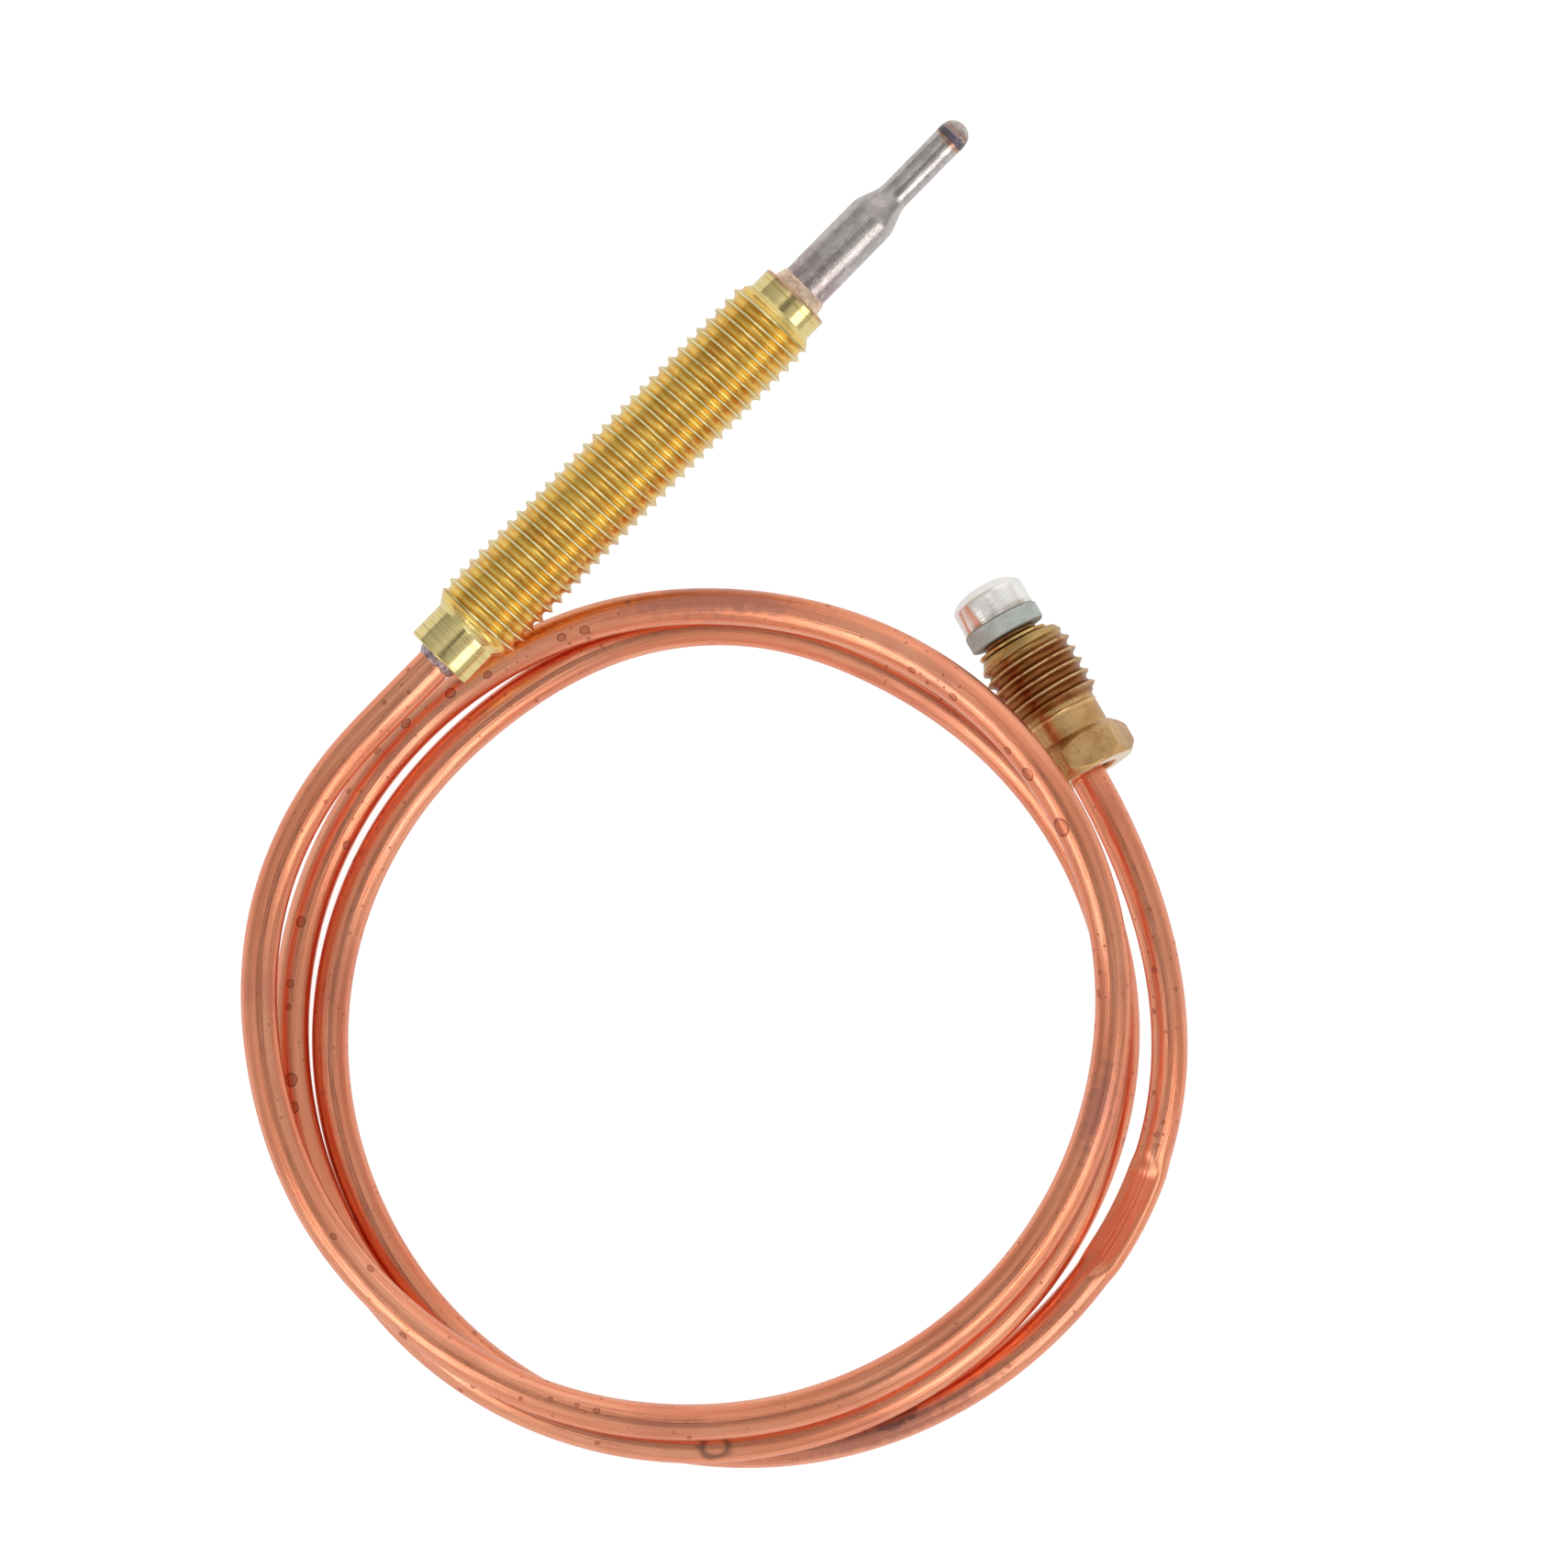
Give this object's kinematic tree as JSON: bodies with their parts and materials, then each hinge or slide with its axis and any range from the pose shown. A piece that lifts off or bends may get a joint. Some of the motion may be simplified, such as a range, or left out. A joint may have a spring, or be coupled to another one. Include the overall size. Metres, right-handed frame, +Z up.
{
  "type": "gas valve thermocouple",
  "caption": "Flame safety thermocouple: long threaded brass sleeve with a steel probe, a coiled copper lead, and a sliding union nut behind a contact tip.",
  "frame": {"origin": "centre of the rigid head's bounding box, on the sleeve's axis, 31.0 mm ahead of the sleeve's rear face; the lead, the nut and the contact end are not counted", "axes": "+X along the head towards the probe's hot tip, +Z up; the coil lies in the XY plane on the -Y side and rests on z = -0.007"},
  "size_m": [0.1061, 0.0813, 0.0127],
  "materials": {
    "copper": "drawn copper, satin, salmon orange with small oxide spots",
    "brass": "turned brass, bright",
    "dark_brass": "turned brass, aged to an olive brown",
    "sheath_steel": "drawn stainless steel, mottled by heat",
    "heat_tinted_steel": "welded steel with a straw to dark blue heat tint",
    "silver_solder": "bright solder",
    "copper_braze": "pinkish copper braze, matt",
    "tin_plate": "bright tin plate",
    "constantan": "drawn alloy wire",
    "washer_fibre": "grey-green vulcanised fibre, matt",
    "ceramic": "unglazed ceramic",
    "glass_fibre": "glass fibre braid"
  },
  "bodies": {
    "thermocouple": {"threaded_sleeve": "brass", "probe_sheath": "sheath_steel", "hot_junction_bead": "heat_tinted_steel", "constantan_wire": "constantan", "ceramic_tube_rear": "ceramic", "ceramic_tube_front": "ceramic", "cold_junction_weld": "silver_solder", "core_wire_head_end": "copper", "core_insulation_head_end": "glass_fibre", "front_braze_fillet": "copper_braze", "rear_solder_ring": "silver_solder", "copper_lead": "copper", "lead_ferrule": "dark_brass", "insulating_washer": "washer_fibre", "contact_cap": "tin_plate", "contact_solder": "silver_solder", "core_wire_contact_end": "copper", "core_insulation_contact_end": "glass_fibre"},
    "loose_ring": {"slip_ring": "brass"},
    "nut": {"union_nut": "dark_brass"}
  },
  "joints": [
    {"name": "nut_slide", "type": "slide", "parent": "thermocouple", "child": "loose_ring", "axis": [-0.2736, -0.9541, 0.1219], "range_m": [0, 0.004]},
    {"name": "nut_spin", "type": "hinge", "parent": "loose_ring", "child": "nut", "pos_m": [0.00286, -0.03792, -0.00232], "axis": [-0.2736, -0.9541, 0.1219], "continuous": true}
  ]
}
